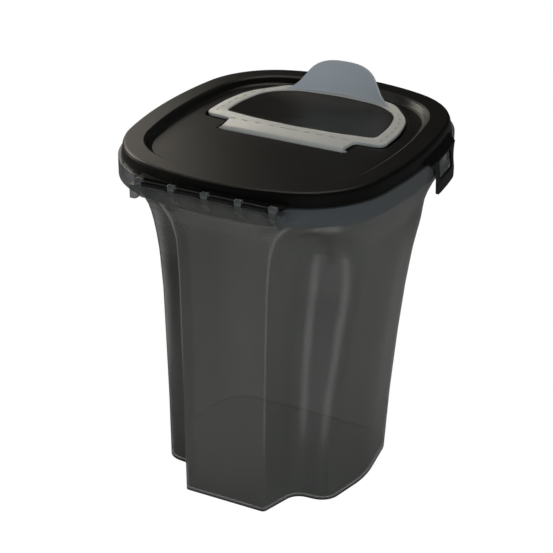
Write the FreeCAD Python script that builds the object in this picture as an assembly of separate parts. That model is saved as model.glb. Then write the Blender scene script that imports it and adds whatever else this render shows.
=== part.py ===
import FreeCAD, Part
import math
import os

V = FreeCAD.Vector

# Sizes are millimetres. X runs along the hinge, +Y points to the thumb tab, +Z is up.
# The outline of the lid is drawn about (0, 0), and every piece is moved by SHIFT_Y at the end,
# so that the origin lies under the middle of the whole object.

# Outline of the lid: two flatter side arcs, two end arcs and four corner arcs.
LID_HALF_WIDTH = 125.0
LID_HALF_DEPTH = 139.9
SIDE_RADIUS = 381.95
END_RADIUS = 211.4
CORNER_RADIUS = 78.5

# Half width, half depth and rim height for which the tables of outlines below are drawn.
DRAWN_FOR = (125.0, 139.9, 302.0)

# Walls and clearances.
LID_WALL = 2.2
BODY_WALL = 2.0
APRON_WALL = 2.2
FLOOR_THICKNESS = 2.6
SEAL_THICKNESS = 2.4
MOVING_GAP = 0.3

# Heights, each from the top of the body's rim.
RIM_TOP = 302.0
RIM_UNDER = RIM_TOP - APRON_WALL
APRON_BOTTOM = RIM_TOP - 16.0
SKIRT_BOTTOM = RIM_TOP + 0.4
LID_TOP = RIM_TOP + 12.5
PANEL_TOP = LID_TOP - 7.0

# Rim of the body, as distances outside (+) or inside (-) the outline of the lid.
LIP_OUTSIDE = -4.0
APRON_OUTSIDE = 5.5
LIP_STEP = 0.5

# Main hinge: the bar stands off a straight chord of the rim.
RIM_CHORD_Y = -LID_HALF_DEPTH - 2.1
PLATE_EDGE_Y = RIM_CHORD_Y - 0.6
HINGE_Y = RIM_CHORD_Y - 5.5
HINGE_Z = RIM_TOP + 3.0
BAR_RADIUS = 1.9
HOOK_CLEARANCE = 0.25
HOOK_WALL = 1.9
KNUCKLE_RADIUS = 3.0
KNUCKLE_WIDTH = 6.0
BRACKET_PITCH = 30.85
BRACKETS_X = [BRACKET_PITCH * step for step in (-2, -1, 0, 1, 2)]
PLATE_THICKNESS = 2.0
PLATE_BOTTOM = SKIRT_BOTTOM + 1.0
CHEEK_WIDTH = 6.5
CHEEK_HEIGHT = 12.0

# Pour door and its hinge.
DOOR_TOP = PANEL_TOP + 2.5
DOOR_THICKNESS = 3.0
POCKET_GAP = 2.6
POCKET_FLOOR = DOOR_TOP - DOOR_THICKNESS - SEAL_THICKNESS - MOVING_GAP
DOOR_HINGE_Y = -13.0
BARREL_RADIUS = 4.4
DOOR_HINGE_Z = DOOR_TOP - BARREL_RADIUS
BARREL_CLEARANCE = 0.5
BARREL_HALF_LENGTH = 58.5
PIN_RADIUS = 1.2
PIN_LENGTH = 7.0
PIN_CLEARANCE = 0.2
NOTCH_HALF_LENGTH = BARREL_HALF_LENGTH + 4.0
COLLAR_BOTTOM = POCKET_FLOOR - 14.3
DISH_DEPTH = 8.4
DISH_RIM_BOTTOM = DOOR_TOP - DISH_DEPTH - 1.6
TAB_LEAN = 15.0
TAB_HEIGHT = 33.0
TAB_THICKNESS = 2.5

# Latch tabs.
LATCH_Y = 36.0
LATCH_BOTTOM = RIM_TOP - 31.0
LATCH_FACE = 10.6
WINDOW_BOTTOM = RIM_TOP - 19.0
WINDOW_TOP = RIM_TOP - 2.0
WINDOW_HALF = 16.5
CATCH_NOSE = 8.0

# Side of the boxes that trim other shapes: larger than the whole object.
TRIM = 3.0 * RIM_TOP

SHIFT_Y = 2.945


def line_meet(p, d, q, e):
    """Point where the line through p along d meets the line through q along e."""
    across = d[0] * e[1] - d[1] * e[0]
    t = ((q[0] - p[0]) * e[1] - (q[1] - p[1]) * e[0]) / across
    return (p[0] + d[0] * t, p[1] + d[1] * t)


def rounded_loop(corners, z, inset=0.0):
    """Closed wire through corners (x, y, reach), listed anticlockwise.

    Each corner is a circular arc that starts and ends `reach` from the corner.
    A positive inset moves the whole wire inwards and keeps the arcs concentric.
    """
    sides = []
    for (ax, ay, _), (bx, by, _) in zip(corners, corners[1:] + corners[:1]):
        length = math.hypot(bx - ax, by - ay)
        d = ((bx - ax) / length, (by - ay) / length)
        sides.append(((ax - d[1] * inset, ay + d[0] * inset), d))
    arcs = []
    for corner, before, after in zip(corners, sides[-1:] + sides[:-1], sides):
        turn = math.asin(before[1][0] * after[1][1] - before[1][1] * after[1][0])
        point = after[0]
        if abs(turn) > 1e-4:
            point = line_meet(before[0], before[1], after[0], after[1])
        reach = max(0.4, corner[2] - inset * math.tan(turn / 2))
        start = V(point[0] - before[1][0] * reach, point[1] - before[1][1] * reach, z)
        end = V(point[0] + after[1][0] * reach, point[1] + after[1][1] * reach, z)
        rise = reach * math.tan(turn / 4)
        chord = (end - start).normalize()
        middle = (start + end) * 0.5 + V(chord.y, -chord.x, 0) * rise * math.cos(turn / 2)
        arcs.append((start, middle, end, abs(turn) > 1e-3))
    edges = []
    for (start, middle, end, bent), following in zip(arcs, arcs[1:] + arcs[:1]):
        curve = Part.Arc(start, middle, end) if bent else Part.LineSegment(start, end)
        edges.append(curve.toShape())
        edges.append(Part.LineSegment(end, following[0]).toShape())
    return Part.Wire(edges)


def banded_loft(levels):
    """Solid through (height, corners, inset) levels, straight from each level to the next."""
    wires = [rounded_loop(corners, z, inset) for z, corners, inset in levels]
    return Part.makeLoft(wires, True, True)


def mirrored(half):
    """Full list of corners from the right-hand half, which starts and ends on x = 0 or off it."""
    left = [(-x, y, reach) for x, y, reach in reversed(half) if abs(x) > 1e-6]
    return half + left


def fitted(half):
    """Half outline from a table, brought from the drawn size to the size of the lid."""
    wide = LID_HALF_WIDTH / DRAWN_FOR[0]
    deep = LID_HALF_DEPTH / DRAWN_FOR[1]
    return [(x * wide, y * deep, reach * min(wide, deep)) for x, y, reach in half]


def trim_box(x=-TRIM / 2, y=-TRIM / 2, z=-TRIM / 2):
    """Large box whose lowest corner is given, to keep or cut one side of a shape."""
    return Part.makeBox(TRIM, TRIM, TRIM, V(x, y, z))


def rod(radius, reach, y, z):
    """Cylinder along X, `reach` to each side of the middle."""
    return Part.makeCylinder(radius, 2 * reach, V(-reach, y, z), V(1, 0, 0))


def prism(corners, z0, z1, inset=0.0):
    """Solid of a rounded loop between two heights."""
    return Part.Face(rounded_loop(corners, z0, inset)).extrude(V(0, 0, z1 - z0))


def corner_centre():
    """Centre of the corner arc in the +X +Y quarter, tangent to the side arc and the end arc."""
    ax = LID_HALF_WIDTH - SIDE_RADIUS
    by = LID_HALF_DEPTH - END_RADIUS
    ra = SIDE_RADIUS - CORNER_RADIUS
    rb = END_RADIUS - CORNER_RADIUS
    gap = math.hypot(ax, by)
    along = (ra * ra - rb * rb + gap * gap) / (2 * gap)
    off = math.sqrt(ra * ra - along * along)
    ux, uy = -ax / gap, by / gap
    return (ax + ux * along - uy * off, uy * along + ux * off)


def lid_arcs():
    """Centre, radius, start and end angle of the eight arcs of the lid outline."""
    cx, cy = corner_centre()
    ax = LID_HALF_WIDTH - SIDE_RADIUS
    by = LID_HALF_DEPTH - END_RADIUS
    low = math.degrees(math.atan2(cy, cx - ax))
    high = math.degrees(math.atan2(cy - by, cx))
    return [
        ((ax, 0), SIDE_RADIUS, -low, low),
        ((cx, cy), CORNER_RADIUS, low, high),
        ((0, by), END_RADIUS, high, 180 - high),
        ((-cx, cy), CORNER_RADIUS, 180 - high, 180 - low),
        ((-ax, 0), SIDE_RADIUS, 180 - low, 180 + low),
        ((-cx, -cy), CORNER_RADIUS, 180 + low, 180 + high),
        ((0, -by), END_RADIUS, 180 + high, 360 - high),
        ((cx, -cy), CORNER_RADIUS, 360 - high, 360 - low),
    ]


def lid_loop(offset, z):
    """Wire of the lid outline, `offset` outside it."""
    edges = []
    for (cx, cy), radius, start, end in lid_arcs():
        circle = Part.Circle(V(cx, cy, z), V(0, 0, 1), radius + offset)
        edges.append(circle.toShape(math.radians(start), math.radians(end)))
    return Part.Wire(edges)


def lid_prism(offset, z0, z1):
    return Part.Face(lid_loop(offset, z0)).extrude(V(0, 0, z1 - z0))


def lid_stack(*levels):
    """Solid through lid outlines, each given as (offset, height)."""
    return Part.makeLoft([lid_loop(offset, z) for offset, z in levels], True, True)


def lid_tangent(angle, offset):
    """Corner data: point and direction of the tangent whose normal is `angle` from -Y towards +X."""
    normal = math.radians(angle - 90.0)
    n = (math.cos(normal), math.sin(normal))
    degrees = (angle - 90.0) % 360.0
    for (cx, cy), radius, start, end in lid_arcs():
        inside = start - 1e-6 <= degrees <= end + 1e-6 or start - 1e-6 <= degrees - 360 <= end + 1e-6
        if inside:
            r = radius + offset
            return (cx + n[0] * r, cy + n[1] * r), (-n[1], n[0])
    raise ValueError(angle)


def rim_corners(offset):
    """Corners of the body's top section, with arcs that follow the lid outline."""
    low = 90.0 - lid_arcs()[0][3]
    high = 90.0 - lid_arcs()[1][3]
    angles = [-high, high, 0.5 * (high + low) - 9, 0.5 * (high + low) + 9, low, 180 - low, 180 - high, 180 + high]
    tangents = [lid_tangent(angle, offset) for angle in angles]
    half = []
    for first, second in zip(tangents[:-1], tangents[1:]):
        point = line_meet(first[0], first[1], second[0], second[1])
        reach = math.hypot(point[0] - second[0][0], point[1] - second[0][1])
        x = point[0] if abs(point[0]) > 1e-3 else 0.0
        half.append((x, point[1], RIM_REACH * reach))
    return half


# Half sections of the body, outside faces, from the floor up. Each holds seven corners
# (x, y, reach): middle of the front, edge of the grip panel, bottom of the flute, ridge,
# side, rear corner, middle of the rear.
BODY_SECTIONS = [
    (0.0, [(0, -122, 20), (39.5, -122, 3), (51, -84.5, 10), (82.5, -81.5, 13), (95, -28, 18), (85, 48, 25.7), (0, 50, 25)]),
    (60.0, [(0, -122, 20), (40.2, -122, 3), (52, -83, 11), (84, -80, 13), (97, -26, 18), (87, 53, 25.9), (0, 55, 25)]),
    (120.0, [(0, -122, 20), (40.9, -122, 3), (53.5, -80.5, 12), (87.4, -77, 13), (101, -23, 20), (90, 59.5, 25.9), (0, 63, 25)]),
    (170.0, [(0, -122, 20), (41.6, -122, 3.2), (55.5, -77, 13), (92, -72.5, 14), (106, -20, 22), (93.8, 66, 27.5), (0, 71, 25)]),
    (205.0, [(0, -122, 20), (42.3, -122, 3.6), (58, -74, 14), (97, -71, 16), (110.5, -15, 24), (98, 73, 32.7), (0, 78.5, 28)]),
    (230.0, [(0, -122, 20), (43.4, -122.1, 4.2), (61, -74.5, 14), (101, -74.5, 19), (113.5, -12, 26), (103, 81, 39.6), (0, 87, 30)]),
    (249.0, [(0, -122, 20), (45, -122.4, 5), (65, -81.5, 13), (104, -82, 23), (114.5, -10, 28), (106, 88, 47.3), (0, 97, 34)]),
    (262.0, [(0, -122.3, 20), (48.5, -123.2, 6), (69.5, -92, 9.5), (106.5, -90, 25), (117, -8, 30), (111.5, 98, 53), (0, 108, 38)]),
    (273.0, [(0, -124.6, 22), (53.5, -125, 8), (74, -106, 8), (107, -95, 24), (119.5, -6, 34), (117, 111, 59), (0, 121, 44)]),
]
BODY_FULL_Z = 291.0
RIM_REACH = 0.9
BAND_HEIGHTS = [
    0, 60, 120, 165, 195, 203, 217, 223, 231, 239, 248, 256, 263, 270, 273, 277, 280, 284, 287, 291, 300.5,
]


def slopes(heights, values):
    """Slope at each height for a smooth path that never overshoots its values."""
    rises = [(b - a) / (y - x) for x, y, a, b in zip(heights, heights[1:], values, values[1:])]
    middle = []
    for before, after in zip(rises, rises[1:]):
        same = before * after > 0
        middle.append(2 * before * after / (before + after) if same else 0.0)
    return [rises[0]] + middle + [rises[-1]]


def path_value(heights, values, z):
    """Value at height z on the smooth path through the values."""
    tilt = slopes(heights, values)
    i = max(k for k in range(len(heights) - 1) if heights[k] <= z)
    span = heights[i + 1] - heights[i]
    t = (z - heights[i]) / span
    hold = (1 + 2 * t) * (1 - t) ** 2 * values[i] + t * t * (3 - 2 * t) * values[i + 1]
    return hold + span * (t * (1 - t) ** 2 * tilt[i] - t * t * (1 - t) * tilt[i + 1])


def body_levels():
    """Corners of the outside at every height in BAND_HEIGHTS, on smooth paths through the sections."""
    sections = [(z, fitted(corners)) for z, corners in BODY_SECTIONS]
    sections.append((BODY_FULL_Z, rim_corners(LIP_OUTSIDE - LIP_STEP - 1.0)))
    sections.append((BAND_HEIGHTS[-1], rim_corners(LIP_OUTSIDE - LIP_STEP)))
    heights = [float(z) for z, _ in sections]
    levels = []
    for z in BAND_HEIGHTS:
        half = []
        for column in zip(*[corners for _, corners in sections]):
            half.append(tuple(path_value(heights, values, z) for values in zip(*column)))
        levels.append((z * RIM_TOP / DRAWN_FOR[2], half))
    return levels


def body_loft(inset, bottom):
    """Outside (inset 0) or inside of the wall, from the given bottom height to the rim."""
    return banded_loft([(max(z, bottom), mirrored(half), inset) for z, half in body_levels()])


def chorded(shape, y):
    """Part of a rim solid behind the straight hinge chord."""
    return shape.common(trim_box(y=y))


def rim_band():
    """Flange, lip and the band that hangs outside the wall, cut straight along the hinge."""
    outer = chorded(lid_prism(APRON_OUTSIDE, APRON_BOTTOM, RIM_TOP), RIM_CHORD_Y)
    hollow = chorded(lid_prism(APRON_OUTSIDE - APRON_WALL, APRON_BOTTOM - 1, RIM_UNDER), RIM_CHORD_Y + APRON_WALL)
    band = outer.cut(hollow)
    band = band.fuse(lid_prism(LIP_OUTSIDE, RIM_UNDER, lip_top()))
    return band.cut(lid_prism(LIP_OUTSIDE - BODY_WALL, APRON_BOTTOM - 2, LID_TOP))


def lip_top():
    return LID_TOP - LID_WALL - SEAL_THICKNESS - MOVING_GAP


def hinge_brackets():
    """Bar with five brackets that stand off the straight part of the band."""
    reach = BRACKETS_X[-1]
    bar = rod(BAR_RADIUS, reach, HINGE_Y, HINGE_Z)
    wide = KNUCKLE_WIDTH
    shapes = []
    for x in BRACKETS_X:
        knuckle = Part.makeCylinder(KNUCKLE_RADIUS, wide, V(x - wide / 2, HINGE_Y, HINGE_Z), V(1, 0, 0))
        points = [
            V(x - wide / 2, HINGE_Y - KNUCKLE_RADIUS, HINGE_Z),
            V(x - wide / 2, HINGE_Y - KNUCKLE_RADIUS, HINGE_Z - 7),
            V(x - wide / 2, RIM_CHORD_Y + 1, APRON_BOTTOM + 2),
            V(x - wide / 2, RIM_CHORD_Y + 1, RIM_TOP),
            V(x - wide / 2, HINGE_Y, RIM_TOP),
            V(x - wide / 2, HINGE_Y, HINGE_Z),
        ]
        web = Part.Face(Part.makePolygon(points + [points[0]])).extrude(V(wide, 0, 0))
        shapes += [knuckle, web]
    for side in (-1, 1):
        inner = reach + wide / 2 - 0.5
        left = inner if side > 0 else -inner - CHEEK_WIDTH
        deep = RIM_CHORD_Y + 1.5 - (HINGE_Y - 2.5)
        cheek = Part.makeBox(CHEEK_WIDTH, deep, CHEEK_HEIGHT, V(left, HINGE_Y - 2.5, RIM_TOP - CHEEK_HEIGHT))
        upright = [e for e in cheek.Edges if abs(e.tangentAt(e.FirstParameter).z) > 0.9]
        shapes.append(cheek.makeFillet(2.0, upright))
    return bar.multiFuse(shapes)


def side_band(profile, y0, y1):
    """Profile (offset, z) swept along the side arc of the +X side, cut between two y values."""
    centre = LID_HALF_WIDTH - SIDE_RADIUS
    points = [V(LID_HALF_WIDTH + offset, 0, z) for offset, z in profile]
    face = Part.Face(Part.makePolygon(points + [points[0]]))
    spread = math.degrees(1.05 * max(abs(y0), abs(y1)) / SIDE_RADIUS)
    face.rotate(V(centre, 0, 0), V(0, 0, 1), -spread)
    solid = face.revolve(V(centre, 0, 0), V(0, 0, 1), 2 * spread)
    return solid.common(trim_box(y=y0)).cut(trim_box(y=y1))


def catch_wedge():
    """Wedge on the band that the latch window drops over."""
    root = APRON_OUTSIDE - 1.0
    low = WINDOW_BOTTOM + 2.2
    high = WINDOW_TOP - 1.4
    profile = [(root, low), (CATCH_NOSE, low + 1.0), (CATCH_NOSE, low + 2.8), (APRON_OUTSIDE + 0.2, high), (root, high)]
    half = WINDOW_HALF - 2.4
    return side_band(profile, LATCH_Y - half, LATCH_Y + half)


def both_sides(shape):
    return [shape, shape.mirror(V(0, 0, 0), V(1, 0, 0))]


# Each stack rib: the point it is measured from, its turn about Z, and its side view (distance, height).
RIB_WIDTH = 1.8
STACK_RIBS = [
    ((70.0, -67.8), -45.0, [(7.8, 6.0), (12.4, 4.0), (12.9, 44.0), (8.6, 42.0)]),
    ((0.0, 25.0), 0.0, [(83.4, 15.0), (87.9, 13.0), (90.7, 51.0), (86.2, 49.0)]),
]


def stack_ribs():
    """Thin upright ribs inside the ridges and the rear corners, which stop nested bins jamming."""
    shapes = []
    wide = LID_HALF_WIDTH / DRAWN_FOR[0]
    deep = LID_HALF_DEPTH / DRAWN_FOR[1]
    for (x, y), turn, points in STACK_RIBS:
        outline = [V(u * wide, -RIB_WIDTH / 2, z * RIM_TOP / DRAWN_FOR[2]) for u, z in points]
        rib = Part.Face(Part.makePolygon(outline + [outline[0]])).extrude(V(0, RIB_WIDTH, 0))
        rib.rotate(V(0, 0, 0), V(0, 0, 1), turn)
        rib.translate(V(x * wide, y * deep, 0))
        shapes += both_sides(rib)
    return shapes


def container_body():
    outside = body_loft(0.0, 0.0)
    inside = body_loft(BODY_WALL, FLOOR_THICKNESS)
    walls = outside.cut(inside)
    walls = walls.cut(trim_box(z=RIM_TOP))
    whole = walls.fuse(rim_band())
    whole = whole.fuse(hinge_brackets())
    return whole.multiFuse(both_sides(catch_wedge()) + stack_ribs())


# Half outlines of the pour door, corner data as for the body.
DOOR_OUTLINE = [(61.5, 3.6, 4.0), (87.0, 5.6, 7.5), (86.8, 40, 12), (80, 72, 14), (52, 106, 13)]
DISH_OUTLINE = [(0, 12.0, 8), (40, 14.2, 8), (73, 18.6, 5), (73.3, 46, 12), (66, 78, 12), (44, 95, 12), (0, 100, 20)]
DISH_CENTRE_Y = 56.0
DOOR_REAR_Y = 106.0


def shrunk(half, factor):
    """The dish outline drawn smaller about its middle."""
    shift = DISH_CENTRE_Y * (1.0 - factor)
    return mirrored([(x * factor, y * factor + shift, reach * factor) for x, y, reach in fitted(half)])


def dish_prism(outside, z0, z1):
    return prism(mirrored(fitted(DISH_OUTLINE)), z0, z1, -outside)


def door_corners():
    return mirrored([(BARREL_HALF_LENGTH, DOOR_HINGE_Y, 0.5)] + fitted(DOOR_OUTLINE))


def door_prism(outside, z0, z1):
    return prism(door_corners(), z0, z1, -outside)


def lid_tub():
    """Pocket of the pour door below the panel, with the trough for the hinge barrel."""
    joined = PANEL_TOP - LID_WALL + 0.5
    tub = door_prism(POCKET_GAP + LID_WALL, POCKET_FLOOR - LID_WALL, joined)
    trough = rod(BARREL_RADIUS + BARREL_CLEARANCE + LID_WALL, NOTCH_HALF_LENGTH + 5.5, DOOR_HINGE_Y, DOOR_HINGE_Z)
    trough = trough.cut(trim_box(z=joined))
    collar = dish_prism(1.5 + LID_WALL, COLLAR_BOTTOM, POCKET_FLOOR)
    return tub.multiFuse([trough, collar])


def lid_pocket():
    """Everything that is cut away for the pour door."""
    pocket = door_prism(POCKET_GAP, POCKET_FLOOR, LID_TOP)
    reach = NOTCH_HALF_LENGTH
    trough = rod(BARREL_RADIUS + BARREL_CLEARANCE, reach, DOOR_HINGE_Y, DOOR_HINGE_Z)
    behind = DOOR_OUTLINE[0][1] * LID_HALF_DEPTH / DRAWN_FOR[1]
    notch = Part.makeBox(2 * reach, behind - DOOR_HINGE_Y + 6.4, TRIM, V(-reach, DOOR_HINGE_Y - 6.0, POCKET_FLOOR))
    hole = dish_prism(1.5, COLLAR_BOTTOM - 1, POCKET_FLOOR + 1)
    pins = rod(PIN_RADIUS + PIN_CLEARANCE, BARREL_HALF_LENGTH + PIN_LENGTH + 1.5, DOOR_HINGE_Y, DOOR_HINGE_Z)
    return pocket.multiFuse([trough, notch, hole, pins])


def lid_hooks():
    """Four open hooks under the bar and the flange plate that carries them."""
    inner = BAR_RADIUS + HOOK_CLEARANCE
    outer = inner + HOOK_WALL
    shapes = []
    for left, right in zip(BRACKETS_X[:-1], BRACKETS_X[1:]):
        x0 = left + KNUCKLE_WIDTH / 2 + 0.9
        width = right - left - KNUCKLE_WIDTH - 1.8
        tube = Part.makeCylinder(outer, width, V(x0, HINGE_Y, HINGE_Z), V(1, 0, 0))
        tube = tube.cut(Part.makeCylinder(inner, width, V(x0, HINGE_Y, HINGE_Z), V(1, 0, 0)))
        far = 2 * outer
        mouth = [V(x0, HINGE_Y, HINGE_Z), V(x0, HINGE_Y - far, HINGE_Z - 0.38 * far)]
        mouth += [V(x0, HINGE_Y - far, HINGE_Z + far), V(x0, HINGE_Y + 0.3 * far, HINGE_Z + far)]
        tube = tube.cut(Part.Face(Part.makePolygon(mouth + [mouth[0]])).extrude(V(width, 0, 0)))
        start = HINGE_Y + inner + 0.2
        web = Part.makeBox(width, PLATE_EDGE_Y + 1.0 - start, PLATE_THICKNESS, V(x0, start, PLATE_BOTTOM))
        shapes += [tube, web]
    return shapes


def hinge_plate():
    """Flat flange in front of the skirt that joins the hooks."""
    half = BRACKETS_X[-1] + 6.0
    plate = Part.makeBox(2 * half, -PLATE_EDGE_Y / 5.5, PLATE_THICKNESS, V(-half, PLATE_EDGE_Y, PLATE_BOTTOM))
    return plate.cut(lid_prism(1.2, SKIRT_BOTTOM - 1, LID_TOP))


def side_outline(half):
    """Thick plate outside the +X side whose half outline (along Y, up) is mirrored about LATCH_Y."""
    loop = rounded_loop(mirrored(half), 0.0)
    loop.rotate(V(0, 0, 0), V(1, 0, 0), 90)
    loop.rotate(V(0, 0, 0), V(0, 0, 1), 90)
    loop.translate(V(LID_HALF_WIDTH - 4 * CATCH_NOSE, LATCH_Y, 0))
    return Part.Face(loop).extrude(V(8 * CATCH_NOSE, 0, 0))


def latch_tab():
    """Tab that flares out of the skirt, with concave shoulders and a window."""
    face = LATCH_FACE
    back = face - LID_WALL
    profile = [
        (1.4, SKIRT_BOTTOM + 4.6), (3.0, SKIRT_BOTTOM + 4.6), (8.2, SKIRT_BOTTOM - 1.4), (face, WINDOW_BOTTOM - 3.0),
        (face, LATCH_BOTTOM), (back, LATCH_BOTTOM), (back, WINDOW_BOTTOM + 1.0), (6.0, WINDOW_TOP - 0.5),
        (6.0, SKIRT_BOTTOM), (1.4, SKIRT_BOTTOM),
    ]
    band = side_band(profile, LATCH_Y - 40, LATCH_Y + 32)
    shoulder = WINDOW_HALF + 7.0
    top = SKIRT_BOTTOM + 7.6
    half = [(shoulder - 1, LATCH_BOTTOM, 3.0), (shoulder, top - 13.5, 10.0), (shoulder + 14.5, top - 6.8, 5.0)]
    tab = band.common(side_outline(half + [(shoulder + 14.5, top, 0.5)]))
    return tab.cut(side_outline([(WINDOW_HALF, WINDOW_BOTTOM, 2.5), (WINDOW_HALF, WINDOW_TOP, 5.0)]))


def lid():
    top = LID_TOP
    shell = lid_stack((3.0, SKIRT_BOTTOM), (1.4, top - 2.9), (0.4, top - 0.8), (-1.2, top))
    recess = lid_stack((-23.5, PANEL_TOP), (-21.3, PANEL_TOP + 1.3), (-18.8, top - 1.3), (-16.6, top + 0.01))
    under = lid_stack((3.0 - LID_WALL, SKIRT_BOTTOM - 0.1), (1.0 - LID_WALL, top - LID_WALL))
    drop = lid_stack((-21.5 + LID_WALL, PANEL_TOP - LID_WALL), (-17.3 + LID_WALL, top - LID_WALL + 0.1))
    shell = shell.cut(under.cut(drop))
    shell = shell.cut(recess)
    shell = shell.fuse(lid_tub())
    shell = shell.multiFuse(lid_hooks() + [hinge_plate()])
    shell = shell.multiFuse(both_sides(latch_tab()))
    return shell.cut(lid_pocket()).removeSplitter()


def lid_seal():
    top = LID_TOP - LID_WALL
    ring = lid_prism(LIP_OUTSIDE + 1.6, top - SEAL_THICKNESS, top)
    return ring.cut(lid_prism(LIP_OUTSIDE - BODY_WALL - 2.4, top - 5, top + 1))


def thumb_tab():
    """Bell-shaped tab that rises from the rear of the frame and leans back."""
    lean = math.radians(TAB_LEAN)
    half = [(56, -0.4, 0.4), (43, 0.8, 12.0), (27.5, TAB_HEIGHT, 14.0)]
    loop = rounded_loop(mirrored(half), 0.0)
    loop.rotate(V(0, 0, 0), V(1, 0, 0), 90 - TAB_LEAN)
    face = Part.Face(loop)
    out = V(0, math.cos(lean), -math.sin(lean))
    tab = face.extrude(out * TAB_THICKNESS)
    tab.translate(V(0, DOOR_REAR_Y - TAB_THICKNESS, DOOR_TOP - 1.4))
    return tab


def pour_door():
    """Frame with its hinge barrel and pins, and the tab that lifts it."""
    outline = door_corners()
    under = DOOR_TOP - DOOR_THICKNESS
    frame = banded_loft([(under, outline, 0.0), (DOOR_TOP - 0.9, outline, 0.0), (DOOR_TOP, outline, 0.7)])
    reach = BARREL_HALF_LENGTH
    barrel = rod(BARREL_RADIUS, reach, DOOR_HINGE_Y, DOOR_HINGE_Z)
    pins = rod(PIN_RADIUS, reach + PIN_LENGTH, DOOR_HINGE_Y, DOOR_HINGE_Z)
    groove = Part.makeBox(2 * reach - 8, 3.0, 6.0, V(-reach + 4, DOOR_HINGE_Y - 1.5, DOOR_HINGE_Z - 6.5))
    frame = frame.multiFuse([barrel, pins, thumb_tab()]).cut(groove)
    return frame.cut(dish_prism(0.0, under - 1, DOOR_TOP + 1)).removeSplitter()


def pour_door_panel():
    """Dished panel: a lip under the frame, a rim inside it, and a smooth hollow."""
    under = DOOR_TOP - DOOR_THICKNESS
    body = dish_prism(-0.3, DISH_RIM_BOTTOM, DOOR_TOP - 0.8)
    body = body.fuse(dish_prism(1.1, under - 1.6, under))
    depths = [(DISH_DEPTH, 0.45), (0.78 * DISH_DEPTH, 0.71), (0.45 * DISH_DEPTH, 0.88), (0.79, 0.97)]
    hollow = banded_loft([(DOOR_TOP - depth, shrunk(DISH_OUTLINE, factor), 0.0) for depth, factor in depths])
    return body.cut(hollow)


def pour_door_seal():
    under = DOOR_TOP - DOOR_THICKNESS
    ring = dish_prism(4.6, POCKET_FLOOR + MOVING_GAP, under)
    return ring.cut(dish_prism(1.4, POCKET_FLOOR - 1, under + 1))


def write(name, shape):
    shape = shape.copy()
    shape.translate(V(0, SHIFT_Y, 0))
    if shape.ShapeType == "Compound" and len(shape.Solids) == 1:
        shape = shape.Solids[0]
    shape.exportStep(os.path.join("parts", name + ".step"))
    print(name, len(shape.Solids), shape.isValid(), round(shape.Volume / 1000.0, 1), shape.BoundBox)


def main():
    os.makedirs("parts", exist_ok=True)
    write("container_body", container_body())
    write("lid", lid())
    write("lid_seal", lid_seal())
    write("pour_door", pour_door())
    write("pour_door_panel", pour_door_panel())
    write("pour_door_seal", pour_door_seal())


main()
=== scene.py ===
"""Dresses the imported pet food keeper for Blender: finishes, fine detail, studio and camera."""

import logging
import math
from collections.abc import Sequence
from dataclasses import dataclass
from enum import Enum

import bmesh
import bpy
from mathutils import Matrix, Vector


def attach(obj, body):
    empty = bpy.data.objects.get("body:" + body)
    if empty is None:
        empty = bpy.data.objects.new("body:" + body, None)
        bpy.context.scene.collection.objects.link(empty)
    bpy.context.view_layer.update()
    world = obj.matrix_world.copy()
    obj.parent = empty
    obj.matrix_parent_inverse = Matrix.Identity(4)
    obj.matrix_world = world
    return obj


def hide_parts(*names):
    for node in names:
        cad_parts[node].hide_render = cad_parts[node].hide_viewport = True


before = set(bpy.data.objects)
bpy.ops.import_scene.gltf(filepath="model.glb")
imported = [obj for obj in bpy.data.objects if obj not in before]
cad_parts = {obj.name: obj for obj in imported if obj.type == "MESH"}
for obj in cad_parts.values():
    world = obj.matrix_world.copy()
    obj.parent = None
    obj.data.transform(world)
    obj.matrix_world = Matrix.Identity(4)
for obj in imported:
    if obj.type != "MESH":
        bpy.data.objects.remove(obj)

Tree = bpy.types.NodeTree
Socket = bpy.types.NodeSocket
Level = Socket | float
Shape = bmesh.types.BMesh
Colour = tuple[float, float, float, float]
Triple = tuple[float, float, float]
# A corner of an outline: its x and y, and how far from it its arc starts and ends.
Corner = tuple[float, float, float]

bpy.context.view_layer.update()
MM = 0.001
# The y of the middle of the lid's outline in the part's frame. The sub-assemblies' y sizes count from it.
LID_CENTRE_Y = 2.945
# The part of its range that a noise fills.
NOISE_RANGE = (0.3, 0.7)
# The Mix node's colour sockets, found by number because its number sockets have the same names.
MIX_A, MIX_B, MIX_RESULT = 6, 7, 2
WHITE: Colour = (1.0, 1.0, 1.0, 1.0)
# Into how many pieces an outline's arcs, the rounded edges and the way round a rod are cut.
ARC_STEPS, ROUNDING_STEPS, ROD_SIDES = 8, 3, 40
# Points nearer than this are one, and edges that turn by more than this are rounded.
WELD_MM = 0.01
SHARP_DEGREES = 50.0
LOG = logging.getLogger("keeper")


def linear(code: str) -> Colour:
    """Turns an sRGB hex colour into Blender's linear colour.

    Args:
        code: six hex digits, with or without a leading hash.

    Returns:
        Red, green, blue and an alpha of one.
    """
    digits = code.lstrip("#")
    channels = [int(digits[i:i + 2], 16) / 255.0 for i in (0, 2, 4)]
    red, green, blue = [
        level / 12.92 if level <= 0.04045 else ((level + 0.055) / 1.055) ** 2.4 for level in channels]
    return (red, green, blue, 1.0)


def add_node(
        tree: Tree, kind: str, settings: dict[str, object] | None = None,
        inputs: dict[str | int, object] | None = None) -> bpy.types.Node:
    """Adds one shader node.

    Args:
        tree: the node tree that gets the node.
        kind: Blender's node type.
        settings: node properties to set.
        inputs: what each input socket, by name or number, gets: a value, or an output socket to link.

    Returns:
        The new node.
    """
    node = tree.nodes.new(kind)
    for name, value in (settings or {}).items():
        setattr(node, name, value)
    for key, value in (inputs or {}).items():
        if isinstance(value, Socket):
            tree.links.new(value, node.inputs[key])
        else:
            node.inputs[key].default_value = value
    return node


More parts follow.
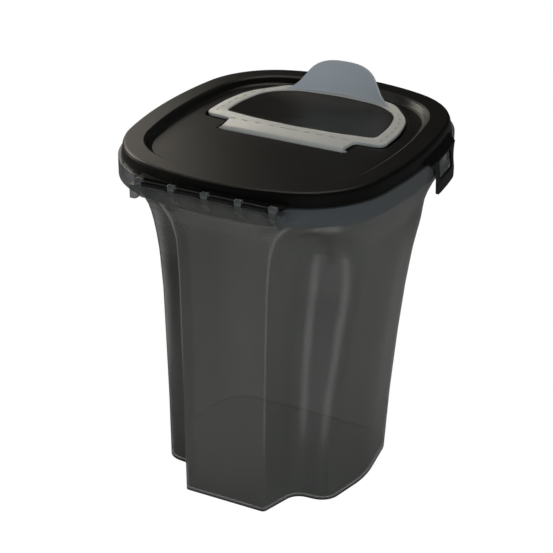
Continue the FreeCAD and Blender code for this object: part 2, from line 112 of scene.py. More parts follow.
class Slot(Enum):
    """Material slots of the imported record."""

    SMOKE = "smoke_plastic"
    BLACK = "black_plastic"
    GREY = "grey_plastic"
    PANEL = "dark_panel"


@dataclass(frozen=True)
class MouldedPlastic:
    """Injection-moulded plastic: slow tone drift, fine speckle, grained surface and softened edges.

    Attributes:
        name: the finish's name.
        colour: main sRGB colour.
        second: sRGB colour of the slow variation.
        roughness: mean roughness.
        roughness_spread: how far the roughness wanders.
        grain_mm: size of the surface grain in millimetres.
        grain_height_mm: height of the grain in millimetres.
        speckle: how much darker and lighter the grain makes the colour.
        edge_mm: radius that the eye sees on sharp edges, in millimetres.
        cloud_mm: size of the slow variation in millimetres.
        grain_strength: how fully the grain turns the surface.
        ior: index of refraction.
    """

    name: str
    colour: str
    second: str
    roughness: float
    roughness_spread: float
    grain_mm: float
    grain_height_mm: float
    speckle: float
    edge_mm: float
    cloud_mm: float = 35.0
    grain_strength: float = 0.6
    ior: float = 1.49

    def tint(self, tree: Tree, place: Socket) -> tuple[Socket, Socket, Socket]:
        """Mixes the two colours slowly and speckles them.

        Args:
            tree: the material's node tree.
            place: the coordinates of the pattern.

        Returns:
            The colour, the slow pattern and the fine grain.
        """
        cloud = add_node(tree, "ShaderNodeTexNoise", inputs={
            "Vector": place, "Scale": 1.0 / (self.cloud_mm * MM), "Detail": 3.0})
        grain = add_node(tree, "ShaderNodeTexNoise", inputs={
            "Vector": place, "Scale": 1.0 / (self.grain_mm * MM), "Detail": 2.0})
        slow = add_node(tree, "ShaderNodeMix", {"data_type": "RGBA"}, {
            "Factor": cloud.outputs["Fac"], MIX_A: linear(self.colour), MIX_B: linear(self.second)})
        level = add_node(tree, "ShaderNodeMapRange", inputs={
            "Value": grain.outputs["Fac"], "From Min": NOISE_RANGE[0], "From Max": NOISE_RANGE[1],
            "To Min": 1.0 - self.speckle, "To Max": 1.0 + self.speckle})
        tone = add_node(tree, "ShaderNodeHueSaturation", inputs={
            "Color": slow.outputs[MIX_RESULT], "Value": level.outputs["Result"]})
        return tone.outputs["Color"], cloud.outputs["Fac"], grain.outputs["Fac"]

    def depth(self, tree: Tree, place: Socket, colour: Socket) -> tuple[Socket, Level, Level]:
        """Gives the colour and opacity by place; plain plastic keeps its colour and lets nothing through.

        Args:
            tree: the material's node tree; not used here.
            place: the coordinates of the pattern; not used here.
            colour: the colour so far.

        Returns:
            The colour, the opacity and a factor of the roughness.
        """
        return colour, 1.0, 1.0

    def build(self) -> bpy.types.Material:
        """Makes the material.

        Returns:
            The finished material.
        """
        material = bpy.data.materials.new(self.name)
        material.use_nodes = True
        tree = material.node_tree
        tree.nodes.clear()
        place = add_node(tree, "ShaderNodeTexCoord").outputs["Object"]
        colour, cloud, grain = self.tint(tree, place)
        colour, alpha, polish = self.depth(tree, place, colour)
        rough = add_node(tree, "ShaderNodeMapRange", inputs={
            "Value": cloud, "To Min": self.roughness - self.roughness_spread,
            "To Max": self.roughness + self.roughness_spread})
        gloss = add_node(tree, "ShaderNodeMath", {"operation": "MULTIPLY"}, {
            0: rough.outputs["Result"], 1: polish})
        edge = add_node(tree, "ShaderNodeBevel", {"samples": 6}, {"Radius": self.edge_mm * MM})
        bump = add_node(tree, "ShaderNodeBump", inputs={
            "Height": grain, "Strength": self.grain_strength, "Distance": self.grain_height_mm * MM,
            "Normal": edge.outputs["Normal"]})
        surface = add_node(tree, "ShaderNodeBsdfPrincipled", inputs={
            "Base Color": colour, "Roughness": gloss.outputs[0], "IOR": self.ior, "Alpha": alpha,
            "Normal": bump.outputs["Normal"]})
        add_node(tree, "ShaderNodeOutputMaterial", inputs={"Surface": surface.outputs["BSDF"]})
        return material


@dataclass(frozen=True)
class SmokePlastic(MouldedPlastic):
    """Translucent plastic, more opaque where the eye meets it at a slant and bluer in the rim band.

    Attributes:
        face_alpha: opacity of each surface seen square on.
        slant_alpha: opacity of each surface seen at a slant.
        slant_blend: how soon the slant begins to tell.
        band_colour: sRGB colour of the rim band.
        band_from_mm: height where the rim band starts.
        band_blend_mm: how far above and below that height its colour comes in.
        band_polish: factor of the roughness in the rim band.
        polish_blend_mm: height over which that polish comes in.
        foot_mm: height of the painted contact shadow along the foot.
        foot_blend_mm: height over which that painted shadow fades.
        foot_tone: brightness of that painted shadow against the wall's.
        floor_mm: heights between which the opaque floor gives way to the clear walls.
        hinge_half_mm: half length of the wall behind the hinge.
        hinge_y_mm: how far back that wall reaches, in the part's frame.
        hinge_top_mm: the top of that wall.
    """

    face_alpha: float = 0.62
    slant_alpha: float = 0.95
    slant_blend: float = 0.35
    band_colour: str = "#4A4D4F"
    band_from_mm: float = 285.9
    band_blend_mm: float = 0.2
    band_polish: float = 0.6
    polish_blend_mm: float = 1.0
    foot_mm: float = 1.3
    foot_blend_mm: float = 0.5
    foot_tone: float = 0.45
    floor_mm: tuple[float, float] = (2.4, 3.4)
    hinge_half_mm: float = 65.0
    hinge_y_mm: float = -136.0
    hinge_top_mm: float = 299.5

    def hinge_zone(self, tree: Tree, place: bpy.types.Node) -> Level:
        """Masks the straight wall behind the hinge, which has the body's own tone.

        Args:
            tree: the material's node tree.
            place: the node that splits the coordinates.

        Returns:
            A socket that is zero on that wall and one elsewhere.
        """
        sideways = add_node(tree, "ShaderNodeMath", {"operation": "ABSOLUTE"}, {0: place.outputs["X"]})
        outside: Level = 0.0
        for socket, limit in (
                (sideways.outputs[0], self.hinge_half_mm), (place.outputs["Y"], self.hinge_y_mm),
                (place.outputs["Z"], self.hinge_top_mm)):
            past = add_node(tree, "ShaderNodeMath", {"operation": "GREATER_THAN"}, {0: socket, 1: limit * MM})
            either = add_node(tree, "ShaderNodeMath", {"operation": "MAXIMUM"}, {
                0: outside, 1: past.outputs[0]})
            outside = either.outputs[0]
        return outside

    def depth(self, tree: Tree, place: Socket, colour: Socket) -> tuple[Socket, Level, Level]:
        """Adds the rim band's colour and polish, a painted contact shadow along the foot and the slant of the
        opacity.

        Args:
            tree: the material's node tree.
            place: the coordinates of the pattern.
            colour: the colour so far.

        Returns:
            The colour, the opacity and a factor of the roughness.
        """
        split = add_node(tree, "ShaderNodeSeparateXYZ", inputs={"Vector": place})
        height = split.outputs["Z"]
        band = add_node(tree, "ShaderNodeMapRange", inputs={
            "Value": height, "From Min": (self.band_from_mm - self.band_blend_mm) * MM,
            "From Max": (self.band_from_mm + self.band_blend_mm) * MM})
        shown = add_node(tree, "ShaderNodeMath", {"operation": "MULTIPLY"}, {
            0: band.outputs["Result"], 1: self.hinge_zone(tree, split)})
        banded = add_node(tree, "ShaderNodeMix", {"data_type": "RGBA"}, {
            "Factor": shown.outputs[0], MIX_A: colour, MIX_B: linear(self.band_colour)})
        # Painted contact shadow: the wall's colour is darkened in a thin line along its foot.
        foot = add_node(tree, "ShaderNodeMapRange", inputs={
            "Value": height, "From Min": self.foot_mm * MM,
            "From Max": (self.foot_mm + self.foot_blend_mm) * MM, "To Min": self.foot_tone})
        painted_foot_shadow = add_node(tree, "ShaderNodeHueSaturation", inputs={
            "Color": banded.outputs[MIX_RESULT], "Value": foot.outputs["Result"]})
        slant = add_node(tree, "ShaderNodeLayerWeight", inputs={"Blend": self.slant_blend})
        wall = add_node(tree, "ShaderNodeMapRange", inputs={
            "Value": slant.outputs["Facing"], "To Min": self.face_alpha, "To Max": self.slant_alpha})
        ground = add_node(tree, "ShaderNodeMapRange", inputs={
            "Value": height, "From Min": self.floor_mm[0] * MM, "From Max": self.floor_mm[1] * MM,
            "To Min": 1.0, "To Max": 0.0})
        alpha = add_node(tree, "ShaderNodeMath", {"operation": "MAXIMUM"}, {
            0: wall.outputs["Result"], 1: ground.outputs["Result"]})
        polish = add_node(tree, "ShaderNodeMapRange", inputs={
            "Value": height, "From Min": (self.band_from_mm - self.polish_blend_mm) * MM,
            "From Max": self.band_from_mm * MM, "To Min": 1.0, "To Max": self.band_polish})
        return painted_foot_shadow.outputs["Color"], alpha.outputs[0], polish.outputs["Result"]


# The smoke body: a dim grey-green that lets the far walls and the floor show faintly through.
SMOKE = SmokePlastic(
    "smoke translucent polypropylene", "#4C4D49", "#51524E", roughness=0.25, roughness_spread=0.02,
    grain_mm=2.4, grain_height_mm=0.001, speckle=0.012, edge_mm=0.3)
# The knuckles of the hinge: thin edges of the same smoke plastic, glossier, bluer and without depth.
CAP = MouldedPlastic(
    "thin clear smoke polypropylene", "#4C4E4F", "#525455", roughness=0.14, roughness_spread=0.02,
    grain_mm=1.5, grain_height_mm=0.003, speckle=0.02, edge_mm=0.4)
# The lid: warm near-black with a fine dry grain that breaks the reflections up.
BLACK = MouldedPlastic(
    "black grained polypropylene", "#090908", "#0C0C0A", roughness=0.36, roughness_spread=0.03,
    grain_mm=1.1, grain_height_mm=0.030, speckle=0.10, edge_mm=0.7)
# The pour door's frame: pale warm grey, smooth, with soft moulded edges.
GREY = MouldedPlastic(
    "grey satin polypropylene", "#B2B4B1", "#B8BAB7", roughness=0.38, roughness_spread=0.03,
    grain_mm=0.9, grain_height_mm=0.006, speckle=0.02, edge_mm=0.9)
# The thumb tab: the frame's grey with painted cool shade, bluer than the frame's top, for the side that faces
# away from the rear light.
TAB = MouldedPlastic(
    "thumb tab grey with painted cool shade", "#B4BBC1", "#BAC1C6", roughness=0.40, roughness_spread=0.03,
    grain_mm=0.9, grain_height_mm=0.008, speckle=0.03, edge_mm=0.6)
# The dashes: the frame's grey, darkened with painted shade, as small raised marks look in their own shadow.
DASH = MouldedPlastic(
    "grey marks with painted shade", "#8E918B", "#94978F", roughness=0.45, roughness_spread=0.03,
    grain_mm=0.6, grain_height_mm=0.006, speckle=0.04, edge_mm=0.2)
# The dish: the same black as the lid with a coarser mould texture that spreads its highlight.
PANEL = MouldedPlastic(
    "black textured polypropylene", "#090908", "#0C0C0A", roughness=0.40, roughness_spread=0.03,
    grain_mm=1.3, grain_height_mm=0.035, speckle=0.14, edge_mm=0.5)
# The gaskets: a dull rubbery grey that is hardly seen between the hard parts.
SEAL = MouldedPlastic(
    "grey thermoplastic elastomer", "#4A4A48", "#525250", roughness=0.6, roughness_spread=0.04,
    grain_mm=0.8, grain_height_mm=0.010, speckle=0.05, edge_mm=0.4)


def dress(node: str, finish: MouldedPlastic) -> bpy.types.Material:
    """Gives a CAD node its finish.

    Args:
        node: the node's name.
        finish: the finish to build.

    Returns:
        The material that was made.
    """
    material = finish.build()
    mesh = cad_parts[node].data
    mesh.materials.clear()
    mesh.materials.append(material)
    LOG.info("%s dressed in %s", node, finish.name)
    return material


def add_piece(
        name: str, shape: Shape, body: str, material: bpy.types.Material) -> bpy.types.Object:
    """Turns finished geometry in millimetres into a piece that rides on a body.

    Args:
        name: the piece's name.
        shape: its geometry, freed afterwards.
        body: the CAD body it moves with.
        material: its finish.

    Returns:
        The piece.
    """
    bmesh.ops.scale(shape, vec=(MM, MM, MM), verts=shape.verts)
    bmesh.ops.recalc_face_normals(shape, faces=shape.faces)
    for face in shape.faces:
        face.smooth = True
    mesh = bpy.data.meshes.new(name)
    shape.to_mesh(mesh)
    shape.free()
    mesh.materials.append(material)
    piece = bpy.data.objects.new(name, mesh)
    bpy.context.scene.collection.objects.link(piece)
    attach(piece, body)
    LOG.info("%s rides on %s", name, body)
    return piece


@dataclass(frozen=True)
class Pool:
    """A round bright patch of the floor that only reflections see.

    Attributes:
        middle: its middle, in metres.
        inner: radius of its even part.
        outer: radius where it ends.
        shine: its strength.
    """

    middle: Triple
    inner: float
    outer: float
    shine: float


@dataclass(frozen=True)
class Softbox:
    """One square lamp that faces the object and that the camera doesn't see.

    Attributes:
        name: the lamp's name.
        place: its centre in metres.
        size: its side in metres.
        power: its power in watts.
        colour: the colour of its light.
        lights: whether matt surfaces see it.
        mirrors: whether glossy surfaces see it.
        aim: the point that it faces, in metres.
    """

    name: str
    place: Triple
    size: float
    power: float
    colour: Triple
    lights: bool = True
    mirrors: bool = True
    aim: Triple = (0.0, 0.0, 0.2)

    def hang(self) -> None:
        """Makes the lamp."""
        data = bpy.data.lights.new(self.name, "AREA")
        data.energy = self.power
        data.size = self.size
        data.color = self.colour
        lamp = bpy.data.objects.new(self.name, data)
        lamp.location = self.place
        lamp.rotation_mode = "QUATERNION"
        lamp.rotation_quaternion = (Vector(self.aim) - Vector(self.place)).to_track_quat("-Z", "Y")
        lamp.visible_camera = False
        lamp.visible_diffuse = self.lights
        lamp.visible_glossy = self.mirrors
        bpy.context.scene.collection.objects.link(lamp)


# The light of a low window, and that of an overcast sky.
WARM: Triple = (1.0, 0.93, 0.82)
COOL: Triple = (0.90, 0.96, 1.0)


@dataclass
class Studio:
    """Floor, lamps, world and the camera at the photograph's angle.

    Attributes:
        azimuth: the camera's angle from the front towards the right, in degrees.
        elevation: its angle above the level, in degrees.
        roll: its turn about its own line of sight, in degrees.
        distance: how far it is from the target, in millimetres.
        target: the point that it is aimed at, in millimetres.
        focal_px: focal length in the photograph's pixels.
        offset_x_px: how far right of the photograph's middle the target lies.
        offset_y_px: how far below the photograph's middle the target lies.
        image_px: the photograph's side.
        sensor_mm: the camera's sensor width.
        floor_half: half side of the floor in metres.
        board: colour of the floor under the lamps.
        board_base: what reflections see of the floor outside its pools.
        pools: the bright pools, which show on the ridge, its low end, the grip panel, the left edge and the
            right wall.
        softboxes: a low warm window at the rear left and its reflections, a top one and a cool one in front.
        even_matt: strength of the world's light on matt surfaces.
        even_glossy: strength of the world's light on glossy surfaces.
    """

    azimuth: float = 27.12
    elevation: float = 26.03
    roll: float = 0.36
    distance: float = 1565.22
    target: Triple = (0.0, LID_CENTRE_Y, 172.41)
    focal_px: float = 1735.58
    offset_x_px: float = 12.02
    offset_y_px: float = -3.42
    image_px: int = 553
    sensor_mm: float = 36.0
    floor_half: float = 4.0
    board: Colour = (0.8, 0.8, 0.8, 1.0)
    board_base: float = 0.08
    pools: tuple[Pool, ...] = (
        Pool((0.28, -0.38, 0.0), inner=0.05, outer=0.20, shine=2.2),
        Pool((0.14, -0.25, 0.0), inner=0.03, outer=0.11, shine=1.8),
        Pool((-0.13, -0.36, 0.0), inner=0.14, outer=0.36, shine=0.6),
        Pool((-0.42, -0.14, 0.0), inner=0.08, outer=0.26, shine=1.1),
        Pool((0.24, 0.24, 0.0), inner=0.14, outer=0.34, shine=0.22))
    softboxes: tuple[Softbox, ...] = (
        Softbox("rear_window", (-1.0, 1.15, 0.75), size=0.6, power=34.0, colour=WARM, mirrors=False),
        Softbox("rear_gleam", (-0.82, 0.66, 0.72), size=0.55, power=1.1, colour=WARM, lights=False),
        Softbox("left_gleam", (-1.7, 0.2, 1.0), size=1.0, power=20.0, colour=WARM, lights=False),
        Softbox("top_softbox", (-0.2, 0.6, 2.0), size=1.0, power=5.0, colour=WARM),
        Softbox("front_softbox", (1.3, -1.3, 0.7), size=1.0, power=17.0, colour=COOL, mirrors=False))
    even_matt: float = 0.18
    even_glossy: float = 0.02

    def build(self) -> None:
        """Makes the whole studio."""
        self.camera()
        self.floor()
        for softbox in self.softboxes:
            softbox.hang()
        self.world()

    def camera(self) -> None:
        """Places the camera where the photograph was taken from."""
        azimuth, elevation = math.radians(self.azimuth), math.radians(self.elevation)
        level = math.cos(elevation)
        back = Vector((math.sin(azimuth) * level, -math.cos(azimuth) * level, math.sin(elevation)))
        data = bpy.data.cameras.new("photo_camera")
        data.sensor_width = self.sensor_mm
        data.lens = self.sensor_mm * self.focal_px / self.image_px
        data.shift_x = -self.offset_x_px / self.image_px
        data.shift_y = self.offset_y_px / self.image_px
        camera = bpy.data.objects.new("photo_camera", data)
        camera.location = (Vector(self.target) + back * self.distance) * MM
        upright = (-back).to_track_quat("-Z", "Y")
        roll = Matrix.Rotation(math.radians(self.roll), 3, "Z").to_quaternion()
        camera.rotation_mode = "QUATERNION"
        camera.rotation_quaternion = upright @ roll
        bpy.context.scene.collection.objects.link(camera)
        bpy.context.scene.camera = camera

    def seen(self, tree: Tree, path: bpy.types.Node) -> Socket:
        """Tells the rays that show white behind the object.

        Args:
            tree: the node tree.
            path: its Light Path node.

        Returns:
            A socket that is one for camera and transmission rays and zero for others.
        """
        either = add_node(tree, "ShaderNodeMath", {"operation": "MAXIMUM"}, {
            0: path.outputs["Is Camera Ray"], 1: path.outputs["Is Transmission Ray"]})
        return either.outputs[0]

    def mirrored_board(self, tree: Tree) -> Level:
        """Spreads the pools over the floor.

        Args:
            tree: the floor's node tree.

        Returns:
            The strength that reflections see.
        """
        place = add_node(tree, "ShaderNodeTexCoord").outputs["Object"]
        strongest: Level = self.board_base
        for pool in self.pools:
            away = add_node(tree, "ShaderNodeVectorMath", {"operation": "DISTANCE"}, {
                0: place, 1: pool.middle})
            near = add_node(tree, "ShaderNodeMapRange", {"interpolation_type": "SMOOTHSTEP"}, {
                "Value": away.outputs["Value"], "From Min": pool.inner, "From Max": pool.outer,
                "To Min": pool.shine, "To Max": self.board_base})
            larger = add_node(tree, "ShaderNodeMath", {"operation": "MAXIMUM"}, {
                0: strongest, 1: near.outputs["Result"]})
            strongest = larger.outputs[0]
        return strongest

    def floor(self) -> None:
        """Lays a plain pale floor, white to the eye, whose bright pools the object mirrors."""
        mesh = bpy.data.meshes.new("studio_floor")
        floor = bpy.data.objects.new("studio_floor", mesh)
        shape = bmesh.new()
        bmesh.ops.create_grid(shape, x_segments=1, y_segments=1, size=self.floor_half)
        shape.to_mesh(mesh)
        shape.free()
        material = bpy.data.materials.new("matt white studio board")
        material.use_nodes = True
        tree = material.node_tree
        tree.nodes.clear()
        path = add_node(tree, "ShaderNodeLightPath")
        seen = self.seen(tree, path)
        strength = add_node(tree, "ShaderNodeMath", {"operation": "MAXIMUM"}, {
            0: self.mirrored_board(tree), 1: seen})
        shining = add_node(tree, "ShaderNodeMath", {"operation": "MAXIMUM"}, {
            0: seen, 1: path.outputs["Is Glossy Ray"]})
        board = add_node(tree, "ShaderNodeBsdfDiffuse", inputs={"Color": self.board})
        shine = add_node(tree, "ShaderNodeEmission", inputs={"Color": WHITE, "Strength": strength.outputs[0]})
        mix = add_node(tree, "ShaderNodeMixShader", inputs={
            0: shining.outputs[0], 1: board.outputs[0], 2: shine.outputs[0]})
        add_node(tree, "ShaderNodeOutputMaterial", inputs={"Surface": mix.outputs[0]})
        mesh.materials.append(material)
        bpy.context.scene.collection.objects.link(floor)

    def world(self) -> None:
        """Lights everything evenly and shows white behind the object."""
        world = bpy.data.worlds.new("studio_world")
        bpy.context.scene.world = world
        world.use_nodes = True
        tree = world.node_tree
        tree.nodes.clear()
        path = add_node(tree, "ShaderNodeLightPath")
        even = add_node(tree, "ShaderNodeMapRange", inputs={
            "Value": path.outputs["Is Glossy Ray"], "To Min": self.even_matt, "To Max": self.even_glossy})
        strength = add_node(tree, "ShaderNodeMath", {"operation": "MAXIMUM"}, {
            0: self.seen(tree, path), 1: even.outputs["Result"]})
        light = add_node(tree, "ShaderNodeBackground", inputs={
            "Color": WHITE, "Strength": strength.outputs[0]})
        add_node(tree, "ShaderNodeOutputWorld", inputs={"Surface": light.outputs[0]})


def mirrored(half: Sequence[Corner]) -> list[Corner]:
    """Completes the right-hand half of an outline, whose corners on the middle line aren't doubled.

    Args:
        half: corners, anticlockwise, in millimetres.

    Returns:
        The whole outline's corners.
    """
    return list(half) + [(-x, y, reach) for x, y, reach in reversed(half) if x > WELD_MM]


def add_outline(curve: bpy.types.Curve, corners: Sequence[Corner]) -> None:
    """Adds a closed spline whose corners are circular arcs.

    Args:
        curve: the curve that gets the spline.
        corners: the outline's corners, in millimetres.
    """
    spline = curve.splines.new("BEZIER")
    spline.bezier_points.add(2 * len(corners) - 1)
    spline.use_cyclic_u = True
    points = [Vector((x, y + LID_CENTRE_Y, 0.0)) for x, y, _ in corners]
    for i, (_, _, reach) in enumerate(corners):
        before = (points[i] - points[i - 1]).normalized()
        after = (points[(i + 1) % len(points)] - points[i]).normalized()
        turn = max(before.angle(after), 1e-3)
        handle = 4.0 / 3.0 * math.tan(turn / 4.0) * reach / math.tan(turn / 2.0)
        start, end = spline.bezier_points[2 * i], spline.bezier_points[2 * i + 1]
        for point, way, place in ((start, before, -reach), (end, after, reach)):
            point.handle_left_type = point.handle_right_type = "FREE"
            point.co = points[i] + way * place
            point.handle_left = point.handle_right = point.co
        start.handle_right = start.co + before * handle
        end.handle_left = end.co - after * handle


def outlined(
        loops: Sequence[Sequence[Corner]], z: float, fill: str = "NONE", extrude: float = 0.0,
        rounding: float = 0.0) -> Shape:
    """Makes geometry from flat outlines, as bare edge loops or as a filled plate.

    Args:
        loops: the outlines; in a plate, the first is its edge and the others are its holes.
        z: height of the middle, in millimetres.
        fill: NONE for edge loops or BOTH for a plate.
        extrude: how far the plate's straight edge stands above and below the middle.
        rounding: radius of the plate's edges.

    Returns:
        The geometry in millimetres.
    """
    curve = bpy.data.curves.new("outline", "CURVE")
    curve.dimensions = "2D"
    curve.fill_mode = fill
    curve.resolution_u = ARC_STEPS
    curve.extrude = extrude
    curve.bevel_depth = rounding
    curve.bevel_resolution = ROUNDING_STEPS
    curve.offset = -rounding
    for corners in loops:
        add_outline(curve, corners)
    holder = bpy.data.objects.new("outline", curve)
    mesh = bpy.data.meshes.new_from_object(holder)
    bpy.data.objects.remove(holder)
    bpy.data.curves.remove(curve)
    shape = bmesh.new()
    shape.from_mesh(mesh)
    bpy.data.meshes.remove(mesh)
    bmesh.ops.remove_doubles(shape, verts=shape.verts, dist=WELD_MM)
    bmesh.ops.translate(shape, vec=(0, 0, z), verts=shape.verts)
    return shape


def grow(shape: Shape, edges: list, factor: float, centre: Vector, drop: float) -> list:
    """Extrudes an edge loop, scales the new loop about a centre and moves it in height.

    Args:
        shape: the geometry.
        edges: the open loop's edges.
        factor: scale of the new loop against the old one.
        centre: middle of the scaling.
        drop: how far the new loop goes down.

    Returns:
        The new loop's edges.
    """
    new = bmesh.ops.extrude_edge_only(shape, edges=edges)["geom"]
    for vert in (item for item in new if isinstance(item, bmesh.types.BMVert)):
        flat = Vector((vert.co.x - centre.x, vert.co.y - centre.y, 0.0)) * factor
        vert.co = Vector((centre.x + flat.x, centre.y + flat.y, vert.co.z - drop))
    return [item for item in new if isinstance(item, bmesh.types.BMEdge)]


def add_rod(shape: Shape, radius: float, length: float, middle: Triple) -> None:
    """Adds a rod that lies along X.

    Args:
        shape: the geometry.
        radius: the rod's radius.
        length: its length.
        middle: its middle.
    """
    along = Matrix.Translation(middle) @ Matrix.Rotation(math.pi / 2, 4, "Y")
    bmesh.ops.create_cone(
        shape, cap_ends=True, segments=ROD_SIDES, radius1=radius, radius2=radius, depth=length,
        matrix=along)


def round_rods(shape: Shape, width: float) -> None:
    """Rounds the rims of the ends of rods.

    Args:
        shape: the geometry, which holds only rods.
        width: width of the rounding in millimetres.
    """
    rims = [edge for edge in shape.edges if any(len(face.verts) == ROD_SIDES for face in edge.link_faces)]
    bmesh.ops.bevel(
        shape, geom=rims, offset=width, offset_type="OFFSET", segments=ROUNDING_STEPS, profile=0.5,
        affect="EDGES", material=-1)


def between(table: Sequence[tuple[float, float]], x: float) -> float:
    """Reads a table of (place, value) with smooth steps that keep to its slopes.

    Args:
        table: rows in rising order of place.
        x: where to read.

    Returns:
        The value there.
    """
    i = max(0, min(len(table) - 2, sum(1 for place, _ in table if place <= x) - 1))
    rises = [(b[1] - a[1]) / (b[0] - a[0]) for a, b in zip(table, table[1:])]
    slopes = [rises[0]] + [(a + b) / 2 for a, b in zip(rises, rises[1:])] + [rises[-1]]
    span = table[i + 1][0] - table[i][0]
    t = max(0.0, min(1.0, (x - table[i][0]) / span))
    ends = table[i][1] * (1 + 2 * t) * (1 - t) ** 2 + table[i + 1][1] * t * t * (3 - 2 * t)
    return ends + span * (slopes[i] * t * (1 - t) ** 2 - slopes[i + 1] * t * t * (1 - t))


@dataclass(frozen=True)
class HingeBar:
    """The container's bar that the lid turns on.

    Attributes:
        y: its middle.
        z: its height.
        pitch: distance between the middles of two knuckles.
        knuckles: how many knuckles it has.
    """

    y: float = -147.5
    z: float = 305.0
    pitch: float = 30.85
    knuckles: int = 5

    def places(self, count: int) -> list[Triple]:
        """Spreads places along the bar, a pitch apart and centred.

        Args:
            count: how many places.

        Returns:
            Points on the bar's middle line in the part's frame, in millimetres.
        """
        first = -(count - 1) / 2.0
        return [((first + i) * self.pitch, self.y + LID_CENTRE_Y, self.z) for i in range(count)]


@dataclass
class ContainerBody:
    """The smoke container, the caps of its hinge knuckles and the flaps below its catches.

    Attributes:
        node: the container's CAD node.
        bar: the hinge bar.
        cap_radius: radius of the cap round each knuckle.
        cap_width: its width.
        cap_round: rounding of its edges.
        half_width: half width of the lid's outline, which the rim band follows.
        side_radius: radius of that outline's side arc.
        flap_y: front and rear end of the flap below each catch.
        flap_z: its bottom and top.
        flap_out: how far it stands outside the lid's outline.
        flap_wall: its thickness.
        flap_taper: where it starts to get lower towards its rear end, as a share of its half length.
        flap_faces: how many faces it has along and up.
    """

    node: str = "container_body"
    bar: HingeBar = HingeBar()
    cap_radius: float = 3.2
    cap_width: float = 6.4
    cap_round: float = 0.6
    half_width: float = 125.0
    side_radius: float = 381.95
    flap_y: tuple[float, float] = (26.0, 76.0)
    flap_z: tuple[float, float] = (274.5, 286.6)
    flap_out: float = 5.4
    flap_wall: float = 1.6
    flap_taper: float = 0.4
    flap_faces: tuple[int, int] = (24, 8)

    def build(self) -> None:
        """Dresses the container and adds its flaps and caps."""
        smoke = dress(self.node, SMOKE)
        self.flaps(smoke)
        self.caps(CAP.build())

    def caps(self, finish: bpy.types.Material) -> None:
        """Makes the pale caps of the hinge knuckles, where the clear plastic catches the light.

        Args:
            finish: their finish.
        """
        shape = bmesh.new()
        for place in self.bar.places(self.bar.knuckles):
            add_rod(shape, self.cap_radius, self.cap_width, place)
        round_rods(shape, self.cap_round)
        add_piece("hinge_knuckle_caps", shape, "container", finish)

    def flaps(self, smoke: bpy.types.Material) -> None:
        """Makes the band's lower flap behind each latch window.

        Args:
            smoke: the container's finish.
        """
        front, rear = self.flap_y
        low, high = self.flap_z
        centre = self.half_width - self.side_radius
        shape = bmesh.new()
        for side in (-1.0, 1.0):
            made = bmesh.ops.create_grid(
                shape, x_segments=self.flap_faces[0], y_segments=self.flap_faces[1], size=1.0)
            for vert in made["verts"]:
                along, up = vert.co.x, vert.co.y
                y = (front + rear) / 2 + along * (rear - front) / 2
                share = 1.0 - (max(0.0, along - self.flap_taper) / (1.0 - self.flap_taper)) ** 2
                z = high - (high - low) * (1.0 - up) / 2 * share
                x = centre + math.sqrt((self.side_radius + self.flap_out) ** 2 - y * y)
                vert.co = Vector((side * x, y + LID_CENTRE_Y, z))
            faces = list({face for vert in made["verts"] for face in vert.link_faces})
            bmesh.ops.recalc_face_normals(shape, faces=faces)
            if sum(face.normal.x for face in faces) * side < 0:
                bmesh.ops.reverse_faces(shape, faces=faces)
            bmesh.ops.solidify(shape, geom=faces, thickness=self.flap_wall)
        add_piece("catch_flaps", shape, "container", smoke)


@dataclass
class Lid:
    """The black lid with its gasket and the hook shells that close round the hinge bar.

    Attributes:
        node: the lid's CAD node.
        seal: the gasket's CAD node.
        bar: the hinge bar.
        hook_half: half length of a hook shell.
        hook_radius: mean radius of a hook shell, level and upright.
        hook_wall: its thickness.
        hook_span: first and last angle of the shell, from the rear, downwards positive, in degrees.
        hook_pinch: how much narrower it is at its two ends.
        hook_pinch_power: how suddenly it narrows there.
        hook_faces: how many faces it has along the bar and round it.
    """

    node: str = "lid"
    seal: str = "lid_seal"
    bar: HingeBar = HingeBar()
    hook_half: float = 11.4
    hook_radius: tuple[float, float] = (3.45, 4.55)
    hook_wall: float = 1.0
    hook_span: tuple[float, float] = (15.0, 210.0)
    hook_pinch: float = 0.6
    hook_pinch_power: int = 6
    hook_faces: tuple[int, int] = (24, 20)

    def build(self) -> None:
        """Dresses the lid and its gasket and makes the hook shells."""
        black = dress(self.node, BLACK)
        dress(self.seal, SEAL)
        self.hooks(black)

    def hooks(self, black: bpy.types.Material) -> None:
        """Makes half-round shells that cup the bar from below, one midway between each two knuckles.

        Args:
            black: the lid's finish.
        """
        shape = bmesh.new()
        first, last = (math.radians(angle) for angle in self.hook_span)
        for x, y, z in self.bar.places(self.bar.knuckles - 1):
            made = bmesh.ops.create_grid(
                shape, x_segments=self.hook_faces[0], y_segments=self.hook_faces[1], size=1.0)
            for vert in made["verts"]:
                angle = first + (last - first) * (vert.co.y + 1.0) / 2.0
                pinch = self.hook_pinch * abs(vert.co.x) ** self.hook_pinch_power
                level, upright = (radius - pinch for radius in self.hook_radius)
                vert.co = Vector((
                    x + vert.co.x * self.hook_half,
                    y + level * math.cos(angle),
                    z - upright * math.sin(angle)))
        bmesh.ops.recalc_face_normals(shape, faces=shape.faces)
        bmesh.ops.solidify(shape, geom=shape.faces[:], thickness=self.hook_wall)
        add_piece("hinge_hooks", shape, "lid", black)


